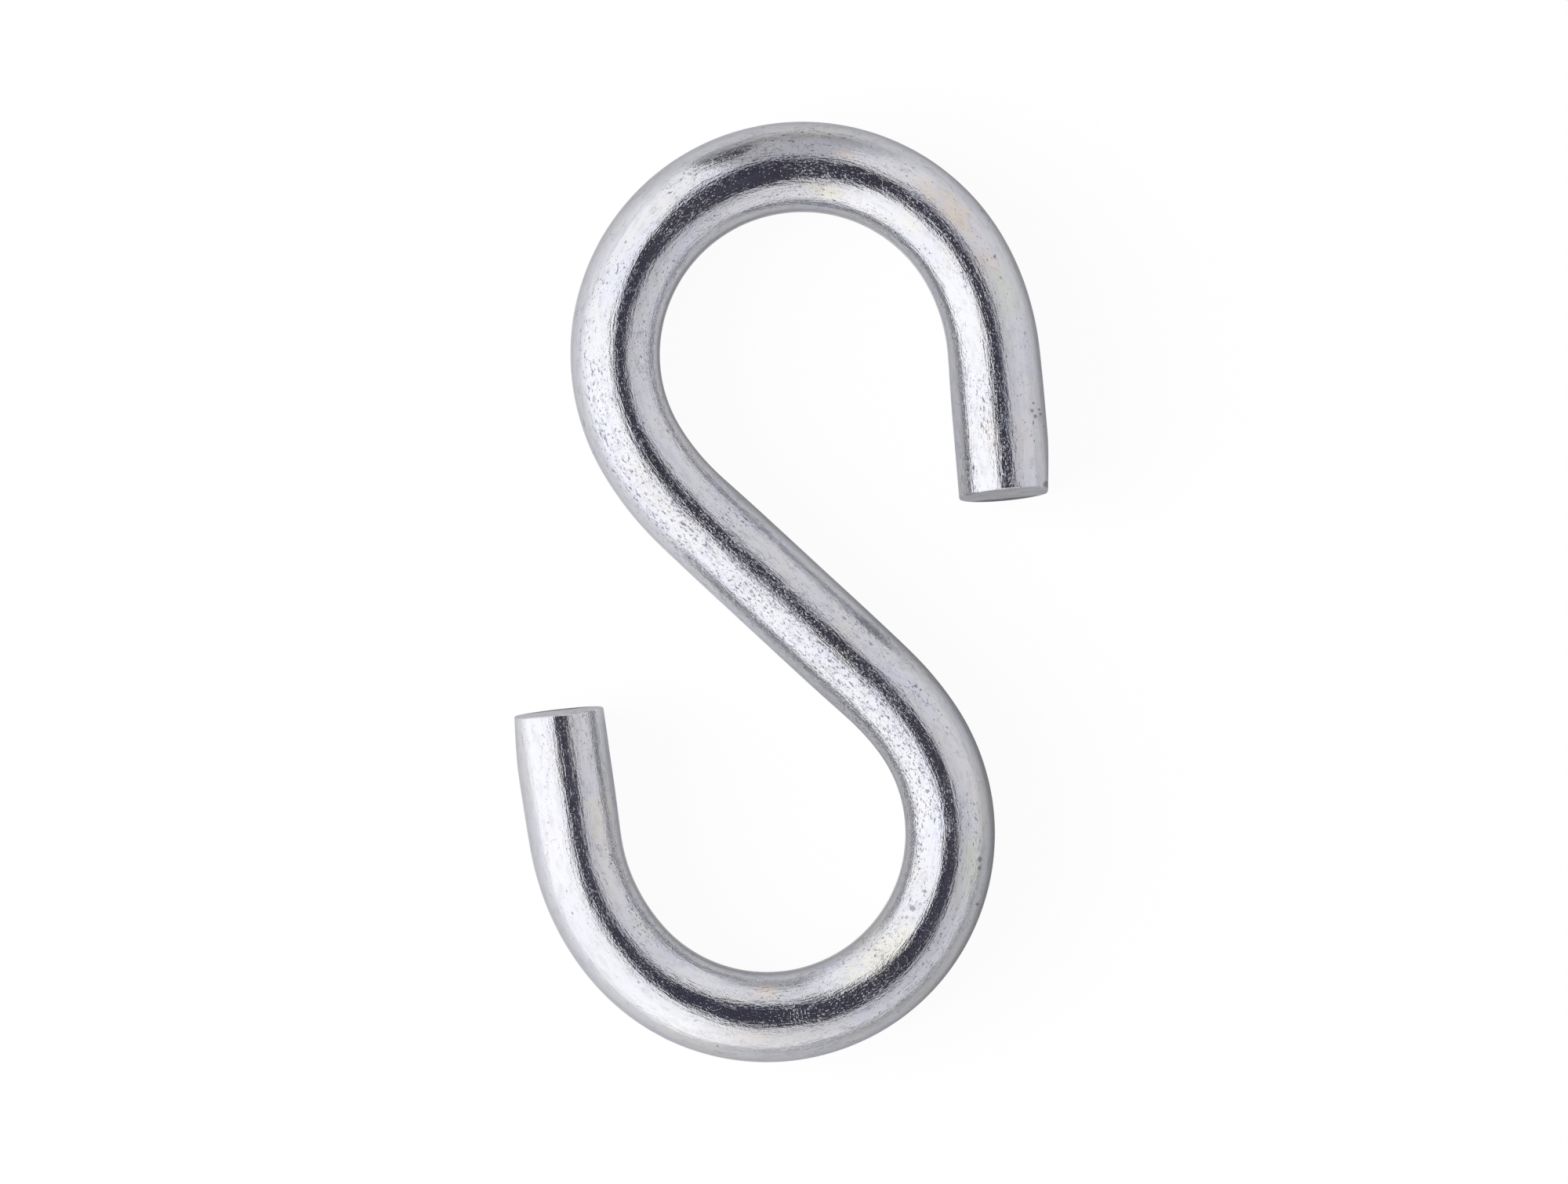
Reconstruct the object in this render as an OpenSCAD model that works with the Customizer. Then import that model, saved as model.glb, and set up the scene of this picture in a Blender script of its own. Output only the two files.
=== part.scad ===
// S hook bent from one piece of round zinc plated wire, in millimetres and degrees.
// It lies flat: the S is in the XY plane with its length along Y, and the wire rests on Z = 0.
// The origin is the middle of the outline, on the surface that the hook lies on.
// The upper hook opens downwards and the lower hook upwards. Both ends are cut off by a shear.

/* [Wire] */
// Diameter of the wire
wire_d = 5; // [4:0.1:6]
// Width of the broken edge round each cut end
edge_break = 0.15; // [0.05:0.05:0.3]
// Length of the flat that the shear blade presses on the outer flank beside each cut end
blade_flat_l = 2.6; // [1.2:0.1:4]
// Depth of that flat at the cut end
blade_flat_depth = 0.22; // [0.1:0.02:0.5]

/* [Shank] */
// Length of the straight shank between the two hooks
shank_l = 13.4; // [10:0.2:30]
// Lean of the shank away from the length of the S
shank_lean = 47.3; // [42:0.1:52]

/* [Upper hook] */
// Inside radius of the run-out from the shank
upper_run_r = 12.5; // [9:0.5:20]
// Turn of the run-out
upper_run_turn = 16; // [8:0.5:24]
// Inside radius of the bend, where the hook hangs from its support
upper_bend_r = 7.45; // [5:0.05:12]
// Turn of the bend
upper_bend_turn = 185; // [165:0.5:195]
// Inside radius of the lead-in from the leg
upper_lead_r = 10; // [8:0.5:16]
// Turn of the lead-in
upper_lead_turn = 21.5; // [10:0.5:30]
// Straight length of the leg, from the lead-in to the middle of its cut end
upper_leg_l = 7.45; // [5:0.05:12]
// Tilt of the cut end, which leaves the side away from the resting face shorter
upper_cut_tilt = 6.3; // [1:0.1:12]
// Skew of the cut end in the flat of the S
upper_cut_skew = 0.5; // [-5:0.1:5]

/* [Lower hook] */
// Inside radius of the run-out from the shank
lower_run_r = 12.5; // [9:0.5:20]
// Turn of the run-out
lower_run_turn = 12; // [6:0.5:24]
// Inside radius of the bend, where the load sits
lower_bend_r = 7.25; // [5:0.05:12]
// Turn of the bend
lower_bend_turn = 174.5; // [160:0.5:190]
// Inside radius of the lead-in from the leg
lower_lead_r = 9.5; // [8:0.5:16]
// Turn of the lead-in
lower_lead_turn = 32.5; // [10:0.5:36]
// Straight length of the leg, from the lead-in to the middle of its cut end
lower_leg_l = 6.8; // [5:0.1:12]
// Tilt of the cut end, which leaves the side away from the resting face shorter
lower_cut_tilt = 2.5; // [1:0.1:12]
// Skew of the cut end in the flat of the S
lower_cut_skew = -1.8; // [-5:0.1:5]

/* [Hidden] */
// Facets round a full circle
$fn = 48;
zinc = [0.78, 0.79, 0.81];
wire_r = wire_d / 2;
// Straights and bends lap by a hair. They are joined at a small scale, where that hair is less than
// a solid modeller's tolerance, and the joined wire is brought back to its real size.
lap_turn = 0.002;
joining_scale = 1 / 10000;

// Both hooks are walked from the middle of the shank to the cut end, turning right all the way.
// A place on a walk is [x, y, heading], and an arc is [radius of the wire's centreline, turn].
upper_heading = 90 + shank_lean;
lower_heading = upper_heading - 180;
upper_arcs = [
    [upper_run_r + wire_r, upper_run_turn],
    [upper_bend_r + wire_r, upper_bend_turn],
    [upper_lead_r + wire_r, upper_lead_turn]
];
lower_arcs = [
    [lower_run_r + wire_r, lower_run_turn],
    [lower_bend_r + wire_r, lower_bend_turn],
    [lower_lead_r + wire_r, lower_lead_turn]
];

function unit(angle) = [cos(angle), sin(angle)];
function point(place) = [place.x, place.y];
function ahead(place, length) =
    let (to = point(place) + length * unit(place.z))
    [to.x, to.y, place.z];
function arc_centre(place, arc) = point(place) + arc[0] * unit(place.z - 90);
function after_arc(place, arc) =
    let (
        heading = place.z - arc[1],
        to = arc_centre(place, arc) + arc[0] * unit(heading + 90)
    )
    [to.x, to.y, heading];
// The places where the arcs start and where the leg starts and ends
function walk(place, arcs, leg_l, i = 0) = i == len(arcs)
    ? [place, ahead(place, leg_l)]
    : concat([place], walk(after_arc(place, arcs[i]), arcs, leg_l, i + 1));

upper_shank_end = ahead([0, 0, upper_heading], shank_l / 2);
lower_shank_end = ahead([0, 0, lower_heading], shank_l / 2);
upper_places = walk(upper_shank_end, upper_arcs, upper_leg_l);
lower_places = walk(lower_shank_end, lower_arcs, lower_leg_l);

// Whether the outer side of an arc faces a direction somewhere along it
function turns_past(place, arc, direction) =
    ((place.z + 90 - direction) % 360 + 360) % 360 <= arc[1];
// How far a walk's wire reaches in a direction, from the middle of the shank. The leg counts as plain
// wire cut square across. Its blade flat takes a little off the reach, but alike on both hooks, so the
// middle of the outline stays where it is.
function reach(direction, places, arcs) = max(concat(
    [for (place = places)
        point(place) * unit(direction) + wire_r * abs(sin(direction - place.z))],
    [for (i = [0 : len(arcs) - 1]) if (turns_past(places[i], arcs[i], direction))
        arc_centre(places[i], arcs[i]) * unit(direction) + arcs[i][0] + wire_r]
));
function outline_reach(direction) = max(
    reach(direction, upper_places, upper_arcs),
    reach(direction, lower_places, lower_arcs)
);
outline_middle = [
    outline_reach(0) - outline_reach(180),
    outline_reach(90) - outline_reach(270)
] / 2;

// One piece of the wire at its place, with +Y along the heading, at the scale for joining
module piece(place) {
    scale(joining_scale)
        translate([place.x, place.y, 0])
            rotate(place.z - 90)
                children();
}

// Straight wire from the origin along +Y
module straight(length) {
    rotate([-90, 0, 0])
        cylinder(d = wire_d, h = length);
}

// Wire that leaves the origin along +Y and turns right
module bend(arc) {
    translate([arc[0], 0, 0])
        rotate(180 + lap_turn)
            rotate_extrude(angle = -arc[1] - 2 * lap_turn)
                translate([arc[0], 0])
                    circle(d = wire_d);
}

// Everything behind a cut at the origin that faces +Y, with the edge round the cut broken at 45 degrees
module behind_cut(length) {
    cut_r = wire_r - edge_break;
    rotate([90, 0, 0])
        cylinder(r1 = cut_r, r2 = cut_r + length, h = length);
}

// Everything to the left of the flat that the shear blade presses, which starts at the origin
module left_of_blade_flat() {
    rotate(-atan(blade_flat_depth / blade_flat_l))
        translate([-wire_d, 0, -wire_d])
            cube([wire_d, 2 * blade_flat_l, 2 * wire_d]);
}

// Leg from the origin along +Y, with its sheared end and its outer flank towards -X
module leg(length, tilt, skew) {
    difference() {
        intersection() {
            straight(length + wire_r);
            translate([0, length, 0])
                rotate([tilt, 0, skew])
                    behind_cut(length + wire_d);
        }
        translate([-wire_r, length - blade_flat_l, 0])
            left_of_blade_flat();
    }
}

// The bends and the leg of one hook
module one_hook(places, arcs, leg_l, tilt, skew) {
    for (i = [0 : len(arcs) - 1])
        piece(places[i])
            bend(arcs[i]);
    piece(places[len(arcs)])
        leg(leg_l, tilt, skew);
}

module hook() {
    color(zinc)
        translate([-outline_middle.x, -outline_middle.y, wire_r])
            scale(1 / joining_scale) {
                piece([lower_shank_end.x, lower_shank_end.y, upper_heading])
                    straight(shank_l);
                one_hook(upper_places, upper_arcs, upper_leg_l, upper_cut_tilt, upper_cut_skew);
                one_hook(lower_places, lower_arcs, lower_leg_l, lower_cut_tilt, lower_cut_skew);
            }
}

hook();
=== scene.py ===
"""Looks of the S hook: the wire as a swept mesh, its zinc finish, the studio and the camera.

The wire's path, mesh and finish are worked out in millimetres, and names that end in _MM are too.
The rest is in metres, in the CAD frame. The path, size and place of the wire repeat the CAD model,
and the mesh adds what bending and shearing do to a real wire.
"""

import math

import bpy
import numpy as np
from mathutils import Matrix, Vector, noise


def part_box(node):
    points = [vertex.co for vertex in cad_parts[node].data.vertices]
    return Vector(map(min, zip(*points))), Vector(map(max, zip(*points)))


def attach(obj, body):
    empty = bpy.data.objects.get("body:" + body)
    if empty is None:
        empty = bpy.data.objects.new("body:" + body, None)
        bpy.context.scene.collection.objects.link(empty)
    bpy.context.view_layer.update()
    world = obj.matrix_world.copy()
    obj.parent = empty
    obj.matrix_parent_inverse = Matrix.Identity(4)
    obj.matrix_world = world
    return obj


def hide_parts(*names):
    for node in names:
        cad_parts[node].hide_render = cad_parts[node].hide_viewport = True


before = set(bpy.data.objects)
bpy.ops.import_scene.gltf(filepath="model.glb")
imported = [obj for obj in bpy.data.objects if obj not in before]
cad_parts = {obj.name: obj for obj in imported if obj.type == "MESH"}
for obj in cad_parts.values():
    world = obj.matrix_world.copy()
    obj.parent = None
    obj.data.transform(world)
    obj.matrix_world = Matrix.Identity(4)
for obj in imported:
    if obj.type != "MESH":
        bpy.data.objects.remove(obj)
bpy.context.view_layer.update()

MM = 0.001

# --- The wire's path, as in the CAD model: each hook is walked from the middle of the shank to its
# cut end, turning right all the way. An arc is (inside radius, turn in degrees).
SHANK_MM = 13.4
SHANK_LEAN = 47.3
UPPER_ARCS = ((12.5, 16), (7.45, 185), (10, 21.5))
LOWER_ARCS = ((12.5, 12), (7.25, 174.5), (9.5, 32.5))
UPPER_LEG_MM = 7.45
LOWER_LEG_MM = 6.8
# The cut ends: the tilt shortens the upper side, and the skew turns the cut in the flat of the S.
UPPER_CUT = {"tilt": 6.3, "skew": 0.5}
LOWER_CUT = {"tilt": 2.5, "skew": -1.8}
# The side of each leg's outer flank on the way from the upper cut to the lower cut: 1 is right.
UPPER_OUTER = 1
LOWER_OUTER = -1

# --- What the CAD model leaves out
EASE_MM = 2.4  # length over which one bend eases into the next
MANDREL_FLAT_MM2 = 2.0  # depth of the mandrel's flat inside a bend, times the centreline's radius
FLAT_EASE_MM = 8.0  # length over which that flat runs out
FLAT_ROUNDING = 0.6  # share of its depth over which a pressed flat blends into the round wire
WAVE_MM = 0.018  # depth of the waves in the drawn surface
DRAW_IN_MM = 0.23  # depth to which the shear draws in the outer flank at the cut
DRAW_IN_LENGTH_MM = 3.0
DRAW_IN_CURVE = 1.3  # above 1 the outer flank curves in, and at 1 it is drawn in straight
ROLLED_EDGE_MM = 0.11  # radius of the edge round the cut
TORN_EASE_MM = 0.25  # how far in from that edge the torn face has its full relief

# --- Mesh
PATH_STEP_MM = 0.02
RING_STEP_MM = 0.25
AROUND = 96
END_LENGTH_MM = 3.2  # stretch at each end whose rings lean over into the plane of the cut
END_RING_STEP_MM = 0.16
EDGE_RINGS = 5
FACE_RINGS = 22


def eased_walk(arcs, leg_mm, wire_r_mm, heading):
    """One hook's centreline, walked from the middle of the shank: distances, places, headings and
    curvatures."""
    spans = [(SHANK_MM / 2, 0.0)]
    for inside_r, turn in arcs:
        centre_r = inside_r + wire_r_mm
        spans.append((centre_r * math.radians(turn), 1 / centre_r))
    spans.append((leg_mm, 0.0))
    length = sum(span for span, _ in spans)
    along = np.linspace(0, length, int(round(length / PATH_STEP_MM)) + 1)
    ends = np.cumsum([span for span, _ in spans])
    bends = np.array([bend for _, bend in spans])
    sharp = bends[np.minimum(np.searchsorted(ends, along), len(spans) - 1)]
    half = int(EASE_MM / PATH_STEP_MM / 2)
    window = np.hanning(2 * half + 3)[1:-1]
    # Past either end the path goes on straight.
    padded = np.concatenate([np.zeros(half), sharp, np.zeros(half)])
    curvature = np.convolve(padded, window / window.sum(), mode="valid")
    gap = along[1]
    middle = (curvature[1:] + curvature[:-1]) / 2
    headings = heading - np.concatenate([[0], np.cumsum(middle * gap)])
    mean = (headings[1:] + headings[:-1]) / 2
    steps = np.stack([np.cos(mean), np.sin(mean)], 1) * gap
    places = np.concatenate([[[0, 0]], np.cumsum(steps, 0)])
    return along, places, headings, curvature


class Wire:
    """The whole centreline, from the upper cut to the lower cut, in millimetres."""

    def __init__(self, low, high):
        self.r = (high.z - low.z) / 2 / MM
        up = math.radians(90 + SHANK_LEAN)
        upper = eased_walk(UPPER_ARCS, UPPER_LEG_MM, self.r, up)
        lower = eased_walk(LOWER_ARCS, LOWER_LEG_MM, self.r, up - math.pi)
        # The upper hook is walked backwards, so it turns left on the way down to the shank.
        along, places, headings, curvatures = (values[::-1] for values in upper)
        upper_length = along[0]
        self.length = upper_length + lower[0][-1]
        self.along = np.concatenate([upper_length - along, upper_length + lower[0][1:]])
        self.places = np.concatenate([places, lower[1][1:]])
        self.headings = np.concatenate([headings - math.pi, lower[2][1:]])
        # The mandrel's flat follows the bends, smoothed so that it runs out past their ends.
        bends = np.concatenate([-curvatures, lower[3][1:]])
        window = np.hanning(int(FLAT_EASE_MM / self.along[1]))
        self.bends = np.convolve(bends, window / window.sum(), mode="same")
        outline = [self.places.min(0) - self.r, self.places.max(0) + self.r]
        box_middle = np.array([low.x + high.x, low.y + high.y]) / 2 / MM
        self.places += box_middle - (outline[0] + outline[1]) / 2

    def at(self, along):
        """Places, headings and smoothed curvatures at distances from the upper cut. Past either end
        the wire goes on straight."""
        inside = np.clip(along, 0, self.length)
        headings = np.interp(inside, self.along, self.headings)
        places = np.stack([np.interp(inside, self.along, axis) for axis in self.places.T], 1)
        ahead = np.stack([np.cos(headings), np.sin(headings)], 1)
        places = places + ahead * (along - inside)[:, None]
        return places, headings, np.interp(inside, self.along, self.bends)


def soft_max(a, b, blend):
    """The larger of two numbers, rounded off where they meet."""
    return (a + b + np.sqrt((a - b) ** 2 + blend**2)) / 2


def press(lateral, depth, side, radius):
    """Presses a flat of that depth into one side of the round wire: 1 is right, -1 is left."""
    return side * (radius - soft_max(radius - side * lateral, depth, FLAT_ROUNDING * depth))


def draw_in(lateral, from_cut, outer_side, radius):
    """Presses the outer flank in towards the cut, as the shear's blade does."""
    reach = np.clip(1 - from_cut / DRAW_IN_LENGTH_MM, 0, 1)
    return press(lateral, DRAW_IN_MM * reach**DRAW_IN_CURVE, outer_side, radius)


def cut_reach(lateral, height, cut):
    """How far the plane of a cut lies beyond the middle of the cut, along the wire."""
    tilt, skew = math.radians(cut["tilt"]), math.radians(cut["skew"])
    return lateral * math.tan(skew) - height * math.tan(tilt) / math.cos(skew)


def torn_face(lateral, height, outer_side):
    """Relief of a sheared face: fine scores along the blade's way, then a torn stretch."""
    across = outer_side * lateral
    scores = noise.noise(Vector((across * 0.25, height * 5.0, 3.0)))
    step = noise.noise(Vector((across * 0.12, height * 1.1, 9.0)))
    tear = noise.fractal(Vector((across * 2.2, height * 2.2, 5.0)), 0.9, 2.1, 5)
    torn = min(max((0.5 - across) / 1.2, 0), 1)
    return 0.010 * scores + 0.035 * step + 0.030 * torn * (tear - 0.5)


def wave(lateral, height, along):
    """Slow unevenness of the drawn and bent surface, from about -1 to 1."""
    broad = noise.noise(Vector((lateral * 0.45, height * 0.45, along * 0.16)))
    narrow = noise.noise(Vector((lateral * 1.3, height * 1.3, along * 0.5 + 40)))
    return broad + 0.35 * narrow


def end_profile(wire_r):
    """The rings of one end, from the plain wire to the middle of the cut. A ring is (radius,
    distance before the cut, lean, cut share): the lean is how far it lies in the plane of the cut,
    and the cut share how far it belongs to the cut face."""
    straight = END_LENGTH_MM - ROLLED_EDGE_MM
    rim = wire_r - ROLLED_EDGE_MM
    leans = np.linspace(0, 1, int(END_LENGTH_MM / END_RING_STEP_MM) + 1)[1:]
    profile = [(wire_r, END_LENGTH_MM - straight * lean, lean, 0) for lean in leans]
    for i in range(1, EDGE_RINGS + 1):
        angle = math.pi / 2 * i / EDGE_RINGS
        radius = wire_r - ROLLED_EDGE_MM * (1 - math.cos(angle))
        before = ROLLED_EDGE_MM * (1 - math.sin(angle))
        profile.append((radius, before, 1, i / EDGE_RINGS))
    profile += [(rim * (1 - i / FACE_RINGS), 0, 1, 1) for i in range(1, FACE_RINGS)]
    return profile


def end_rings(circle, wire_r, cut, outer_side):
    """The rings of one end as (lateral, height, distance before the cut, cut share)."""
    rings = []
    for radius, before, lean, cut_share in end_profile(wire_r):
        lateral, height = circle * radius
        lateral = draw_in(lateral, np.full(AROUND, before), outer_side, wire_r)
        back = before - cut_reach(lateral, height, cut) * lean
        if before == 0:
            inward = min((wire_r - ROLLED_EDGE_MM - radius) / TORN_EASE_MM, 1)
            relief = [torn_face(x, z, outer_side) for x, z in zip(lateral, height)]
            back = back - np.array(relief) * inward
        rings.append((lateral, height, back, cut_share))
    return rings


def straight_wire(wire):
    """The wire pulled straight: its places ring by ring and then the middle of each cut, and the
    cut share of each place. A place is (lateral, height, along), and lateral is to the right of the
    way from the upper cut to the lower cut."""
    turns = np.arange(AROUND) * 2 * math.pi / AROUND
    circle = np.stack([np.cos(turns), np.sin(turns)])
    upper_cut = {"tilt": UPPER_CUT["tilt"], "skew": -UPPER_CUT["skew"]}  # seen the other way
    upper = end_rings(circle, wire.r, upper_cut, UPPER_OUTER)
    lower = end_rings(circle, wire.r, LOWER_CUT, LOWER_OUTER)
    plain_end = wire.length - END_LENGTH_MM
    plain = np.arange(END_LENGTH_MM, plain_end + RING_STEP_MM / 2, RING_STEP_MM)
    plain[-1] = plain_end

    rings = upper[::-1]
    rings += [(*(circle * wire.r), np.full(AROUND, along), 0) for along in plain]
    rings += [(*across, wire.length - back, share) for *across, back, share in lower]
    cut_mask = np.append(np.repeat([float(share) for *_, share in rings], AROUND), [1, 1])
    rings = [np.stack(place, 1) for *place, _ in rings]
    return np.concatenate([*rings, [rings[0].mean(0), rings[-1].mean(0)]]), cut_mask


def bent_wire(wire, straight, cut_mask):
    """Vertices in metres: the straight wire laid along its path, pressed flat inside the bends."""
    lateral, height, along = straight.T
    places, headings, bends = wire.at(along)
    right = np.stack([np.sin(headings), -np.cos(headings)], 1)
    # The wire is pressed flat where the mandrel stood, and then lies midway over its path again.
    inner_side = np.where(bends < 0, -1, 1)
    flat_depth = MANDREL_FLAT_MM2 * np.abs(bends)
    lateral = press(lateral, flat_depth, inner_side, wire.r) + inner_side * flat_depth / 2
    waves = np.array([wave(*place) for place in straight])
    radial = 1 - WAVE_MM / wire.r * (1 - waves) / 2 * (1 - cut_mask)
    level = places + right * (lateral * radial)[:, None]
    return np.column_stack([level, wire.r + height * radial]) * MM


def wire_faces(count):
    """Quads between the rings, and a fan of triangles from the middle of each cut."""
    pairs = [(j, (j + 1) % AROUND) for j in range(AROUND)]
    starts = [i * AROUND for i in range(count)]
    rows = zip(starts, starts[1:])
    faces = [(a + j, b + j, b + k, a + k) for a, b in rows for j, k in pairs]
    upper_middle, lower_middle = count * AROUND, count * AROUND + 1
    for j, k in pairs:
        faces.append((upper_middle, j, k))
        faces.append((lower_middle, starts[-1] + k, starts[-1] + j))
    return faces


class Graph:
    """Adds nodes to one shader tree. An input is a number, a colour or another node's socket."""

    def __init__(self, tree):
        self.tree = tree
        tree.nodes.clear()

    def node(self, kind, inputs=(), **settings):
        node = self.tree.nodes.new("ShaderNode" + kind)
        for name, value in settings.items():
            setattr(node, name, value)
        for name, value in dict(inputs).items():
            self.feed(node.inputs[name], value)
        return node

    def feed(self, socket, value):
        if isinstance(value, bpy.types.NodeSocket):
            self.tree.links.new(value, socket)
        elif isinstance(value, tuple) and socket.type == "RGBA":
            socket.default_value = (*value, 1)
        else:
            socket.default_value = value

    def math(self, operation, *values):
        return self.node("Math", enumerate(values), operation=operation).outputs[0]

    def vector(self, operation, *values):
        node = self.node("VectorMath", enumerate(values), operation=operation)
        return node.outputs["Vector"]

    def times(self, product, *factors):
        for factor in factors:
            product = self.math("MULTIPLY", product, factor)
        return product

    def layered(self, total, *layers):
        """A number plus each layer, which is (pattern, height)."""
        for pattern, height in layers:
            total = self.math("MULTIPLY_ADD", pattern, height, total)
        return total

    def squares(self, a, b):
        return self.math("MULTIPLY_ADD", a, a, self.math("MULTIPLY", b, b))

    def smooth(self, value, low, high):
        """0 at low and 1 at high, with a smooth step between them. Low may be above high."""
        ends = {"From Min": min(low, high), "From Max": max(low, high)}
        if low > high:
            ends.update({"To Min": 1.0, "To Max": 0.0})
        node = self.node("MapRange", {"Value": value, **ends}, interpolation_type="SMOOTHSTEP")
        return node.outputs[0]

    def noise(self, vector, size, detail=2.0, roughness=0.5):
        """Noise from 0 to 1 with features of that size, a number or one for each axis."""
        stretch = tuple(1 / s for s in size) if isinstance(size, tuple) else (1 / size,) * 3
        scaled = self.vector("MULTIPLY", vector, stretch)
        inputs = {"Vector": scaled, "Scale": 1.0, "Detail": detail, "Roughness": roughness}
        return self.node("TexNoise", inputs).outputs["Fac"]

    def level_lines(self, pattern, clear, full):
        """Thin lines where a pattern crosses 0.5: full within one distance of it, and clear beyond
        the other."""
        return self.smooth(self.math("ABSOLUTE", self.math("SUBTRACT", pattern, 0.5)), clear, full)

    # A Mix node has sockets for every kind of value, so they are given by number.
    def mix(self, share, a, b):
        """The colour a at share 0 and b at share 1."""
        return self.node("Mix", {0: share, 6: a, 7: b}, data_type="RGBA").outputs[2]

    def blend(self, share, a, b):
        """The number a at share 0 and b at share 1."""
        return self.node("Mix", {0: share, 2: a, 3: b}, data_type="FLOAT").outputs[0]

    def position(self):
        """The place of the shaded point, and its x, y and z."""
        place = self.node("NewGeometry").outputs["Position"]
        return place, *self.node("SeparateXYZ", {"Vector": place}).outputs

    def finish(self, share, first, second):
        """Makes the surface: the first shader at share 0 and the second at share 1."""
        shaders = {0: share, 1: first.outputs[0], 2: second.outputs[0]}
        self.node("OutputMaterial", {"Surface": self.node("MixShader", shaders).outputs[0]})


# --- Zinc finish: colours, and how strong each layer of it is
ZINC = (0.52, 0.523, 0.545)
ZINC_EDGE = (0.62, 0.62, 0.64)
WARM = (0.535, 0.522, 0.510)
COOL = (0.502, 0.509, 0.562)
STAIN = (0.12, 0.12, 0.15)
FRACTURE = (0.34, 0.34, 0.35)
BURNISHED = (0.52, 0.52, 0.54)
# painted shade along the lower edge of the cut face, towards the floor
LOWER_EDGE_SHADE = (0.09, 0.09, 0.10)
PEACH = (0.570, 0.518, 0.470)
ROSE = (0.550, 0.508, 0.500)
CREAM = (0.545, 0.534, 0.500)
SAGE = (0.500, 0.518, 0.485)

TINT_SPREAD = 1.3  # above 1 a tint is full over more than its middle
CLOUD_STAIN = 0.18
WORN_STAIN = 0.85
CUT_TONE = 0.9
BRIGHT_ROUGHNESS = 0.03
CLOUDED_ROUGHNESS = 0.10
WORN_ROUGHNESS = 0.24
CUT_ROUGHNESS = 0.40
# Heights of the relief
STREAK_MM = 0.0170
THREAD_MM = 0.0115
GRAIN_MM = 0.0085
SPECK_MM = 0.0090
WORN_MM = -0.0040
RIDGE_MM = 0.0020
RIDGE_PITCH_MM = 0.21

# Places on the wire in millimetres, as the distance from the upper cut and the offset to the right
# of the way to the lower cut. Tints have a half length, a half width and a colour, spots a radius.
TINTS = (
    (10.6, 1.1, 1.9, 0.9, SAGE),
    (12.2, 1.0, 1.0, 0.7, ROSE),
    (15.4, 1.1, 2.5, 0.9, PEACH),
    (21.1, 0.9, 0.7, 0.35, ROSE),
    (22.0, -1.2, 1.7, 0.6, CREAM),
    (72.5, -1.3, 2.2, 0.8, SAGE),
    (78.8, 0.8, 3.6, 1.1, CREAM),
    (86.3, 1.4, 1.1, 0.6, PEACH),
    (87.0, -1.0, 1.0, 0.5, ROSE),
    (102.5, 1.3, 1.6, 0.7, CREAM),
)
SPOTS = (
    (0.35, 2.15, 0.26),
    (4.0, 1.85, 0.13),
    (4.1, 2.15, 0.10),
    (4.3, 1.7, 0.12),
    (4.35, 2.1, 0.09),
    (4.7, 1.8, 0.09),
    (72.1, -1.7, 0.16),
    (72.5, -1.75, 0.12),
    (74.1, -2.1, 0.10),
    (74.3, 0.8, 0.14),
    (75.5, 1.05, 0.22),
)
# Where marks crowd on the shank and thin out on the lower leg, with a half length and a half width
CROWDED = (56.0, 1.2, 22.0, 1.9)
SPARSE = (97.0, -1.0, 14.0, 2.6)
# Ridges across the top of the lower bend, where the bending tool chattered
CHATTER = (84.55, -0.05, 0.75, 0.55)


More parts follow.
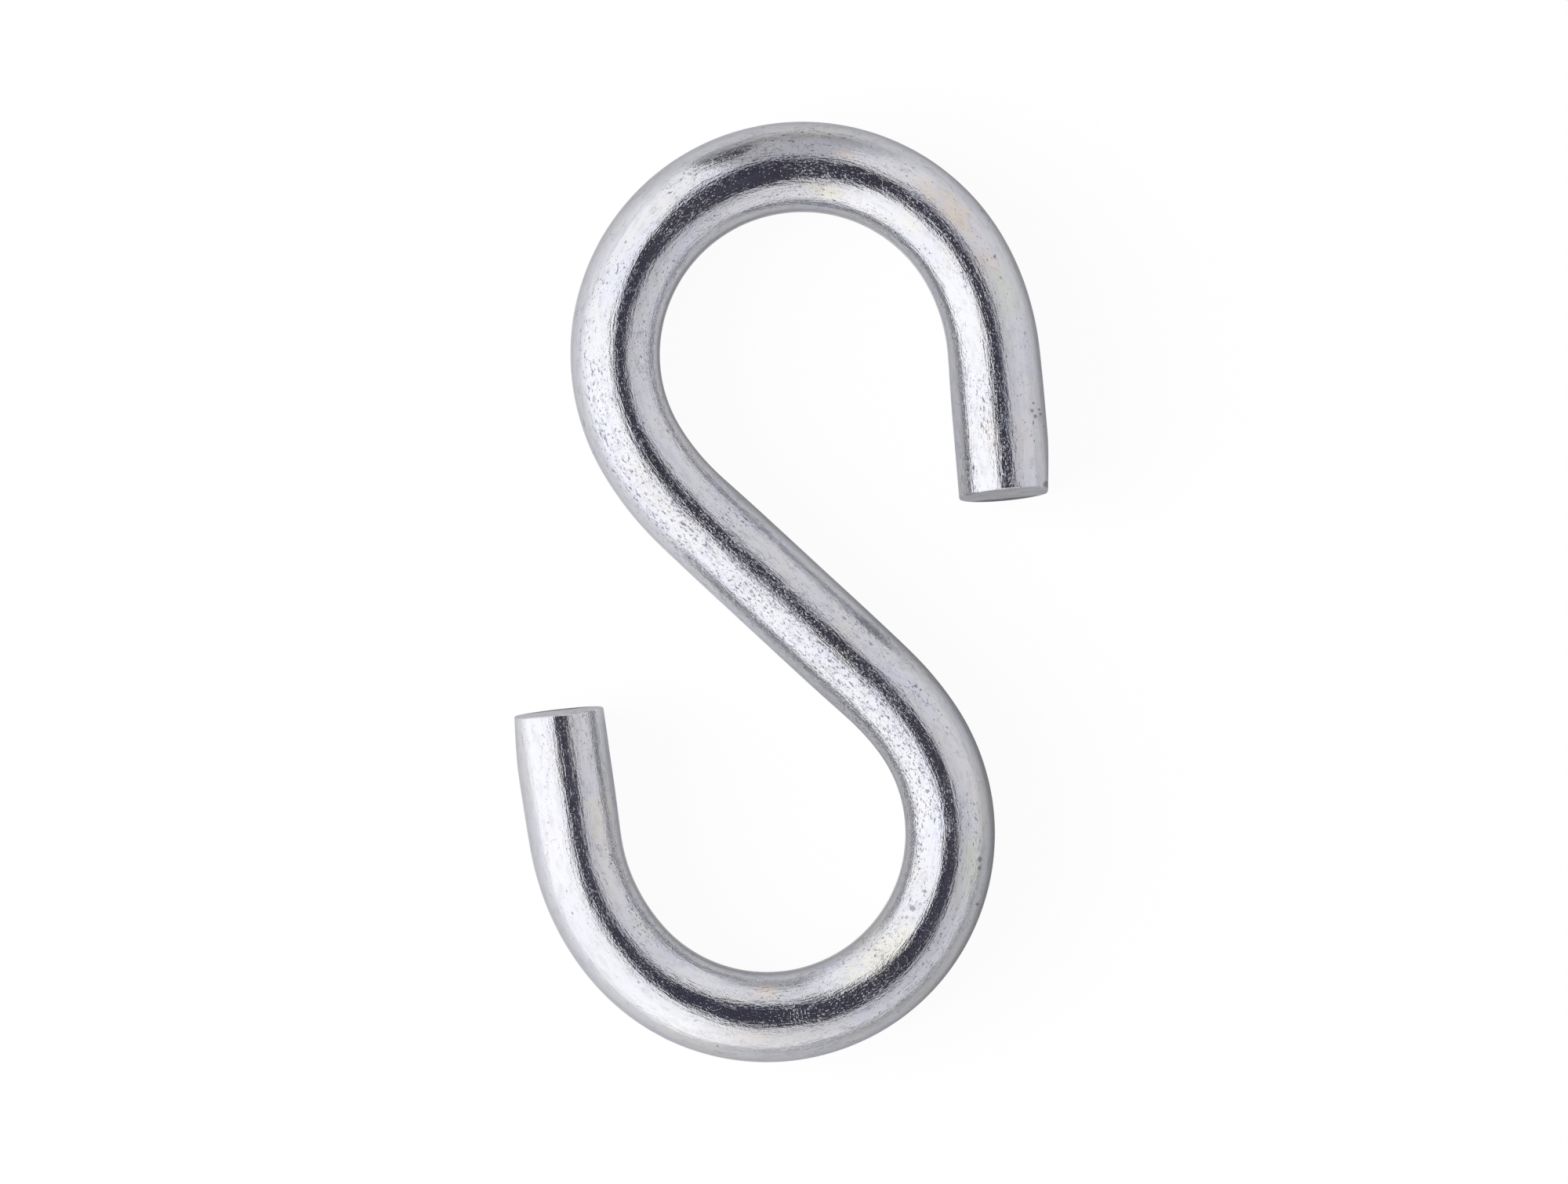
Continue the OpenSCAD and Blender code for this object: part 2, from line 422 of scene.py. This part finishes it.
class Plating(Graph):
    """The layers of the zinc finish, laid out on the straightened wire in millimetres."""

    def __init__(self, tree):
        super().__init__(tree)
        self.wire = self.node("Attribute", attribute_name="wire_mm").outputs["Vector"]
        self.cut = self.node("Attribute", attribute_name="cut").outputs["Fac"]
        axes = self.node("SeparateXYZ", {"Vector": self.wire})
        self.lateral, self.height, self.along = axes.outputs

    def away(self, *offset):
        """The wire's places, moved so that a noise there differs from the others."""
        return self.vector("ADD", self.wire, offset)

    def near(self, place, offset, half_length, half_width, core=0.4):
        """An oval on the wire: 1 in its core, and 0 outside it."""
        lengthways = self.math("DIVIDE", self.math("SUBTRACT", self.along, place), half_length)
        sideways = self.math("DIVIDE", self.math("SUBTRACT", self.lateral, offset), half_width)
        return self.smooth(self.squares(sideways, lengthways), 1.0, core)

    def on_top(self, low, high):
        """Full on the wire's upper side, where it was rubbed, and weak below that."""
        return self.blend(self.smooth(self.height, low, high), 0.35, 1.0)

    def tinted_zinc(self):
        """Slow drifts between a warm and a cool tint, and a few tinted places with ragged edges."""
        warmth = self.noise(self.wire, (1.4, 1.4, 3.2), 2.0)
        coolness = self.noise(self.away(17.0, 5.0, 31.0), (1.2, 1.2, 4.0), 2.0)
        colour = self.mix(self.smooth(warmth, 0.52, 0.80), ZINC, WARM)
        colour = self.mix(self.smooth(coolness, 0.44, 0.76), colour, COOL)
        ragged = self.noise(self.away(4.0, 7.0, 1.0), (0.5, 0.5, 1.0), 3.0, 0.6)
        for *oval, tint in TINTS:
            spread = self.times(self.near(*oval, 0.0), TINT_SPREAD)
            share = self.times(spread, self.smooth(ragged, 0.30, 0.60))
            colour = self.mix(share, colour, tint)
        return colour

    def crowding(self):
        """How thick the marks lie, in patches."""
        patches = self.noise(self.away(3.0, 50.0, 7.0), (1.3, 1.3, 4.0), 3.0)
        more = self.times(self.near(*CROWDED, 0.0), 0.28)
        fewer = self.times(self.near(*SPARSE, 0.0), -0.25)
        patches = self.math("ADD", patches, self.math("ADD", more, fewer))
        return self.smooth(patches, 0.30, 0.75)

    def dashes(self, crowding):
        """Short dull marks along the wire."""
        dashes = self.noise(self.away(0.3, 0.1, 0.7), (0.12, 0.12, 0.24), 3.0, 0.6)
        above = self.math("SUBTRACT", dashes, self.blend(crowding, 0.68, 0.55))
        return self.times(self.smooth(above, 0.0, 0.09), self.on_top(0.8, 1.9))

    def squiggles(self, crowding):
        """Fine broken lines."""
        level = self.noise(self.away(0.0, 33.0, 21.0), (0.42, 0.42, 1.0), 3.0, 0.6)
        lines = self.level_lines(level, 0.022, 0.006)
        broken = self.noise(self.away(8.0, 1.0, 4.0), (0.35, 0.35, 0.7), 2.0)
        return self.times(lines, self.smooth(broken, 0.53, 0.63), self.blend(crowding, 0.25, 0.8))

    def pits(self):
        """Scattered round pits, and the larger spots."""
        cell_places = self.vector("MULTIPLY", self.wire, (1.7, 1.7, 1.3))
        inputs = {"Vector": cell_places, "Scale": 1.0, "Randomness": 1.0}
        cells = self.node("TexVoronoi", inputs).outputs
        chosen = self.node("SeparateColor", {"Color": cells["Color"]}).outputs[0]
        in_pit = self.smooth(cells["Distance"], 0.16, 0.05)
        pits = self.times(in_pit, self.smooth(chosen, 0.76, 0.84))
        for place, offset, radius in SPOTS:
            pits = self.math("MAXIMUM", pits, self.near(place, offset, radius, radius, 0.2))
        return pits

    def hairlines(self):
        """Thin curved scratches."""
        level = self.noise(self.away(70.0, 0.0, 9.0), (1.3, 1.3, 2.2), 3.0)
        lines = self.level_lines(level, 0.006, 0.001)
        some = self.noise(self.away(0.0, 90.0, 2.0), (1.0, 1.0, 1.6), 1.0)
        return self.times(lines, self.smooth(some, 0.58, 0.64))

    def worn(self, crowding):
        """All the dull marks together."""
        worn = self.dashes(crowding)
        layers = ((self.squiggles(crowding), 0.8), (self.pits(), 0.8), (self.hairlines(), 0.6))
        for layer, share in layers:
            worn = self.math("MAXIMUM", worn, self.times(layer, share))
        return worn

    def clouds(self):
        """A soft mottling."""
        return self.noise(self.away(6.0, 60.0, 1.0), (0.30, 0.30, 0.75), 3.0, 0.6)

    def sheared_face(self):
        """Burnished patches on a torn ground, and painted shade: a dark line along the lower edge,
        towards the floor.
        """
        tear = self.noise(self.away(40.0, 2.0, 0.0), (0.80, 0.22, 0.30), 4.0, 0.65)
        face = self.mix(self.smooth(tear, 0.32, 0.68), FRACTURE, BURNISHED)
        # Painted shade: the face goes dark along its lower edge, with a ragged border.
        shaded_edge = self.math("MULTIPLY_ADD", tear, -0.8, self.height)
        return self.mix(self.smooth(shaded_edge, -1.7, -2.2), face, LOWER_EDGE_SHADE)

    def relief(self, crowding, worn):
        """Drawing streaks, threads, a fine grain, raised specks, sunk marks and the ridges left by
        the bending tool. The fine layers are stronger on top."""
        streaks = self.noise(self.wire, (0.24, 0.24, 2.2), 3.0, 0.65)
        threads = self.noise(self.away(0.5, 0.7, 0.2), (0.10, 0.10, 0.8), 2.0, 0.6)
        grain = self.noise(self.away(0.2, 5.0, 0.4), (0.085, 0.085, 0.15), 2.0, 0.6)
        specks = self.noise(self.away(9.0, 2.0, 5.0), (0.085, 0.085, 0.16), 1.0)
        specks = self.times(self.smooth(specks, 0.60, 0.76), self.blend(crowding, 0.4, 1.0))
        harsh = self.noise(self.away(2.0, 80.0, 3.0), (1.6, 1.6, 3.5), 2.0)
        harsh = self.blend(self.smooth(harsh, 0.35, 0.65), 0.7, 1.2)
        harsh = self.times(harsh, self.on_top(0.8, 2.2))
        ridge_place = self.math("MULTIPLY_ADD", threads, 0.25, self.along)
        ridges = self.math("SINE", self.times(ridge_place, 2 * math.pi / RIDGE_PITCH_MM))
        ridges = self.times(ridges, self.near(*CHATTER))
        fine = self.times(threads, THREAD_MM)
        fine = self.layered(fine, (grain, GRAIN_MM), (specks, SPECK_MM))
        coarse = ((streaks, STREAK_MM), (worn, WORN_MM), (ridges, RIDGE_MM))
        return self.layered(self.times(fine, harsh), *coarse)


def zinc_material():
    """Bright zinc plating over drawn wire."""
    material = bpy.data.materials.new("zinc_plating")
    material.use_nodes = True
    g = Plating(material.node_tree)
    crowding = g.crowding()
    worn = g.worn(crowding)
    clouds = g.clouds()
    stained = g.times(g.smooth(clouds, 0.45, 0.75), CLOUD_STAIN)
    colour = g.mix(stained, g.tinted_zinc(), STAIN)
    colour = g.mix(g.times(worn, WORN_STAIN), colour, STAIN)
    colour = g.mix(g.times(g.cut, CUT_TONE), colour, g.sheared_face())
    roughness = g.blend(clouds, BRIGHT_ROUGHNESS, CLOUDED_ROUGHNESS)
    roughness = g.blend(worn, roughness, WORN_ROUGHNESS)
    roughness = g.blend(g.cut, roughness, CUT_ROUGHNESS)
    relief = {"Strength": 1.0, "Distance": MM, "Height": g.relief(crowding, worn)}
    surface = {
        "Base Color": colour,
        "Metallic": 1.0,
        "Roughness": roughness,
        "Specular Tint": ZINC_EDGE,
        "Normal": g.node("Bump", relief).outputs[0],
    }
    shader = g.node("BsdfPrincipled", surface)
    g.node("OutputMaterial", {"Surface": shader.outputs[0]})
    return material


def build_hook(low, high):
    wire = Wire(low, high)
    straight, cut_mask = straight_wire(wire)
    vertices = bent_wire(wire, straight, cut_mask)
    mesh = bpy.data.meshes.new("zinc_hook")
    mesh.from_pydata(vertices.tolist(), [], wire_faces(len(straight) // AROUND))
    mesh.polygons.foreach_set("use_smooth", [True] * len(mesh.polygons))
    place = mesh.attributes.new("wire_mm", "FLOAT_VECTOR", "POINT")
    place.data.foreach_set("vector", straight.astype(np.float32).ravel())
    mask = mesh.attributes.new("cut", "FLOAT", "POINT")
    mask.data.foreach_set("value", cut_mask.astype(np.float32))
    mesh.validate()
    mesh.update()
    hook = bpy.data.objects.new("zinc_hook", mesh)
    bpy.context.scene.collection.objects.link(hook)
    mesh.materials.append(zinc_material())
    return hook


# --- Studio. Directions in the tent are compass angles from +X, turning towards +Y.
# Each entry is (compass angle, brightness, colour, how dark the gap under the wall is).
TENT = (
    (-180, 1.84, (0.99, 0.99, 1.0), 0.0),
    (-165, 1.89, (1.0, 1.0, 1.0), 0.0),
    (-145, 1.78, (0.99, 0.99, 1.0), 0.0),
    (-110, 1.84, (1.0, 1.0, 1.0), 0.2),
    (-101, 1.58, (1.0, 0.985, 0.96), 0.4),
    (-90, 1.42, (1.0, 0.985, 0.96), 0.7),
    (-68, 1.30, (0.975, 0.97, 1.0), 0.9),
    (-48, 1.17, (0.97, 0.965, 1.0), 0.9),
    (-18, 1.11, (0.98, 0.97, 1.0), 0.8),
    (10, 1.15, (0.985, 0.975, 1.0), 0.1),
    (40, 1.18, (0.98, 0.975, 1.0), 0.0),
    (51, 1.15, (0.97, 0.97, 1.0), 0.0),
    (59, 1.31, (1.0, 0.995, 1.0), 0.0),
    (80, 1.32, (0.99, 0.985, 1.0), 0.0),
    (90, 1.26, (0.985, 0.98, 1.0), 0.0),
    (103, 1.22, (0.98, 0.975, 1.0), 0.0),
    (111, 1.30, (0.98, 0.98, 1.0), 0.0),
    (115, 1.54, (0.995, 1.0, 1.0), 0.0),
    (140, 1.66, (0.99, 0.99, 1.0), 0.0),
    (180, 1.84, (0.99, 0.99, 1.0), 0.0),
)
# Painted light and shade on the floor some way off, seen only in the metal: (compass angle,
# brightness)
PAINTED_FLOOR_LIGHT = (
    (-180, 1.50),
    (-135, 1.42),
    (-115, 1.25),
    (-98, 0.95),
    (-85, 0.76),
    (-65, 0.60),
    (-30, 0.58),
    (-12, 0.74),
    (8, 0.92),
    (30, 1.08),
    (55, 1.08),
    (80, 0.95),
    (110, 0.95),
    (128, 1.35),
    (180, 1.50),
)
DARK_TOP = (0.016, 0.014, 0.034)
DIM_TOP = (0.20, 0.195, 0.24)
DARK_GAP = (0.16, 0.17, 0.22)
DIM_WALL = (0.2, 0.2, 0.24)
FADED_WALL = (1.16, 1.16, 1.24)
FAR_END = (0.48, 0.48, 0.50)
FLAP_FOOT = (0.60, 0.60, 0.62)
FLAP_TOP = (0.76, 0.76, 0.80)
FLAP_PATCH = (0.03, 0.03, 0.04)
FLOOR_MATT = (0.88, 0.88, 0.88)
TENT_ON_FLOOR = 0.37  # share of the tent's light that reaches the floor
FLOOR_WHITE = 0.945  # how much of the floor's look is its own white, past lamps and shadow
# Close by, the metal mirrors this share of the painted floor light, and the lit floor for the rest
NEAR_PAINTED_LIGHT = 0.35  # share of PAINTED_FLOOR_LIGHT in what the metal mirrors close by; the rest is lit floor

SOFTBOX_PLACE = (-0.50, -0.03, 0.28)
SOFTBOX_SIZE = (0.5, 0.36)
SOFTBOX_WATTS = 5.2
FLOOR_HALF = 1.5
CAMERA_CARD_HALF = 0.35


class Disc:
    """Directions from the hook as places in a unit disc: where a polished ball mirrors them to a
    camera straight above it. The horizon is the circle at 0.71 from its middle."""

    def __init__(self, g, way):
        self.g = g
        self.facing = g.vector("NORMALIZE", g.vector("ADD", way, (0.0, 0.0, 1.0)))
        self.x, self.y, _ = g.node("SeparateXYZ", {"Vector": self.facing}).outputs

    def clutter(self, size):
        """A noise over the disc."""
        return self.g.noise(self.g.vector("MULTIPLY", self.facing, (1.0, 1.0, 0.0)), size, 2.0)

    def patch(self, middle, half_width, half_height, soft, lean=0.0):
        """An oval spot of the disc. With lean, its upper part stands further left."""
        g = self.g
        upward = g.math("SUBTRACT", self.y, middle[1])
        across = g.math("SUBTRACT", self.x, middle[0])
        across = g.math("MULTIPLY_ADD", upward, lean, across)
        across = g.math("DIVIDE", across, half_width)
        upward = g.math("DIVIDE", upward, half_height)
        return g.smooth(g.math("SQRT", g.squares(across, upward)), 1 + soft, 1 - soft)


def compass_ramp(g, x, y, stops):
    """A colour ramp over the compass angle of a place, from (angle, colour with alpha) pairs."""
    compass = g.math("DIVIDE", g.math("ARCTAN2", y, x), 2 * math.pi)
    ramp = g.node("ValToRGB", {"Fac": g.math("ADD", compass, 0.5)})
    elements = ramp.color_ramp.elements
    for i, (angle, colour) in enumerate(stops):
        stop = elements[i] if i < 2 else elements.new(1.0)
        stop.position = angle / 360 + 0.5
        stop.color = colour
    return ramp.outputs


def tent():
    """A white tent round the hook with a bright left wall."""
    world = bpy.data.worlds.new("tent")
    bpy.context.scene.world = world
    world.use_nodes = True
    g = Graph(world.node_tree)
    disc = Disc(g, g.node("TexCoord").outputs["Generated"])
    rim = g.math("SQRT", g.squares(disc.x, disc.y))
    stops = [(angle, (*(level * c for c in tone), gap)) for angle, level, tone, gap in TENT]
    wall = compass_ramp(g, disc.x, disc.y, stops)
    # The wall's upper left part fades towards the floor.
    upper_left = g.times(g.smooth(disc.y, 0.08, 0.35), g.smooth(disc.x, -0.12, -0.30))
    fading = g.times(upper_left, g.smooth(rim, 0.58, 0.72))
    colour = g.mix(fading, wall["Color"], FADED_WALL)
    # The gap under the tent's lower edge
    colour = g.mix(g.times(g.smooth(rim, 0.655, 0.700), wall["Alpha"]), colour, DARK_GAP)
    # Dimmer behind the camera and on its right
    dim = disc.patch((0.14, -0.15), 0.30, 0.34, 0.5)
    colour = g.mix(g.times(dim, 0.22), colour, DIM_WALL)
    strength = g.blend(g.node("LightPath").outputs["Is Diffuse Ray"], 1.0, TENT_ON_FLOOR)
    background = g.node("Background", {"Color": colour, "Strength": strength})
    g.node("OutputWorld", {"Surface": background.outputs[0]})


def softbox():
    """Lights the floor from the left. The metal mirrors the tent instead."""
    lamp = bpy.data.lights.new("softbox", "AREA")
    lamp.shape = "RECTANGLE"
    lamp.size, lamp.size_y = SOFTBOX_SIZE
    lamp.energy = SOFTBOX_WATTS
    box = bpy.data.objects.new("softbox", lamp)
    bpy.context.scene.collection.objects.link(box)
    box.location = SOFTBOX_PLACE
    box.rotation_euler = (-box.location).to_track_quat("-Z", "Y").to_euler()
    box.visible_camera = False
    box.visible_glossy = False


def level_square(half, height):
    """The corners of a level square over the origin."""
    flat = ((-half, -half), (half, -half), (half, half), (-half, half))
    return [(x, y, height) for x, y in flat]


def sheet(name, corners, material_name):
    """A flat object with four corners. Gives the object and its material's shader tree."""
    mesh = bpy.data.meshes.new(name)
    mesh.from_pydata(corners, [], [(0, 1, 2, 3)])
    flat = bpy.data.objects.new(name, mesh)
    bpy.context.scene.collection.objects.link(flat)
    material = bpy.data.materials.new(material_name)
    material.use_nodes = True
    mesh.materials.append(material)
    return flat, Graph(material.node_tree)


def mirrored_card(name, corners):
    """A card that only the metal mirrors. It is out of the picture, and neither lights nor shades.
    Gives its shader tree."""
    card, g = sheet(name, corners, name)
    card.visible_camera = False
    card.visible_diffuse = False
    card.visible_transmission = False
    card.visible_shadow = False
    return g


def show_card(g, colour, mask):
    """Makes a card glow in a colour where the mask is 1. The rest of it is clear."""
    glow = g.node("Emission", {"Color": colour, "Strength": 1.0})
    g.finish(mask, g.node("BsdfTransparent"), glow)


def camera_card(height):
    """The camera and whoever holds it, cut off on the left by the straight edge of the tent."""
    g = mirrored_card("camera_card", level_square(CAMERA_CARD_HALF, height))
    place = g.node("NewGeometry").outputs["Position"]
    disc = Disc(g, g.vector("NORMALIZE", place))
    silhouette = disc.patch((0.045, -0.03), 0.178, 0.275, 0.12, 0.2)
    from_edge = g.math("MULTIPLY_ADD", disc.y, 0.08, disc.x)
    mask = g.times(silhouette, g.smooth(from_edge, -0.10, -0.08))
    show_card(g, g.mix(g.smooth(disc.clutter(0.035), 0.42, 0.64), DARK_TOP, DIM_TOP), mask)


def end_card():
    """The tent's dim far end above the hook, which fades to the right and upwards."""
    left, right, back, high = -0.030, 0.040, 0.066, 0.045
    corners = [(left, back, 0), (right, back, 0), (right, back, high), (left, back, high)]
    g = mirrored_card("end_card", corners)
    _, x, _, z = g.position()
    rightwards, upwards = g.smooth(x, right, 0.005), g.smooth(z, high, 0.008)
    show_card(g, FAR_END, g.times(rightwards, upwards, g.smooth(x, left, left + 0.002)))


def flap_card():
    """A dim flap that leans over the top of the hook, with a dark patch at its left."""
    left, right = -0.022, 0.016
    foot, top = (0.050, 0.0086), (0.029, 0.0174)
    corners = [(left, *foot), (right, *foot), (right, *top), (left, *top)]
    g = mirrored_card("flap_card", corners)
    place, x, y, _ = g.position()
    # Its sides slant outwards to the foot.
    from_left = g.smooth(g.math("MULTIPLY_ADD", y, 0.72, x), 0.0154, 0.0168)
    from_right = g.smooth(g.math("MULTIPLY_ADD", y, -0.5, x), -0.0085, -0.0140)
    rough = g.noise(place, 0.0012, 2.0)
    patch = g.times(
        g.smooth(x, -0.0045, -0.0065),
        g.smooth(y, 0.0340, 0.0362),
        g.smooth(y, 0.0480, 0.0440),
        g.smooth(rough, 0.85, 0.50),
    )
    colour = g.mix(g.smooth(y, 0.049, 0.041), FLAP_FOOT, FLAP_TOP)
    show_card(g, g.mix(patch, colour, FLAP_PATCH), g.times(from_left, from_right))


def floor_plane():
    """A white floor. To the camera its own white takes most of its look, and the rest keeps the
    shadow. To the metal it shows painted light and shade by compass angle: all of it some way off,
    and part of it close by, where the lit floor makes up the rest.
    """
    floor, g = sheet("floor", level_square(FLOOR_HALF, 0), "floor_white_painted_light")
    path = g.node("LightPath").outputs
    _, x, y, _ = g.position()
    # Painted light and shade that only the metal mirrors, set by compass angle round the hook
    far = compass_ramp(g, x, y, [(angle, (level, level, level, 1)) for angle, level in PAINTED_FLOOR_LIGHT])
    distance = g.math("SQRT", g.squares(x, y))
    # Close to the hook the metal mirrors only part of this painted light, over the lit floor
    glow = g.blend(g.smooth(distance, 0.020, 0.060), NEAR_PAINTED_LIGHT, 1.0)
    mirrored = g.times(path["Is Glossy Ray"], glow)
    seen = g.math("MAXIMUM", path["Is Camera Ray"], path["Is Transmission Ray"])
    share = g.math("MULTIPLY_ADD", seen, FLOOR_WHITE, mirrored)
    matt = g.node("BsdfDiffuse", {"Color": FLOOR_MATT})
    colour = g.mix(path["Is Glossy Ray"], (1.0, 1.0, 1.0), far["Color"])
    g.finish(share, matt, g.node("Emission", {"Color": colour, "Strength": 1.0}))


# --- Camera: straight above, with a long lens
LENS_MM = 135
FRAME_WIDTH_MM = 83.33  # what the picture's width covers at the height of the wire's middle
RIGHT_OF_MIDDLE_MM = 0.146  # the picture's middle lies this far right of the hook's middle


def camera_above(low, high):
    """Gives the camera's height."""
    data = bpy.data.cameras.new("camera")
    data.lens = LENS_MM
    data.clip_start, data.clip_end = 0.01, 10
    camera = bpy.data.objects.new("camera", data)
    bpy.context.scene.collection.objects.link(camera)
    middle = (low + high) / 2
    distance = FRAME_WIDTH_MM * MM * LENS_MM / data.sensor_width
    camera.location = middle + Vector((RIGHT_OF_MIDDLE_MM * MM, 0, distance))
    bpy.context.scene.camera = camera
    return camera.location.z


node_low, node_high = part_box("hook")

hook = build_hook(node_low, node_high)
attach(hook, "root")
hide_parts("hook")

tent()
softbox()
end_card()
flap_card()
floor_plane()
camera_card(camera_above(node_low, node_high))
bpy.context.scene.view_settings.view_transform = "Standard"
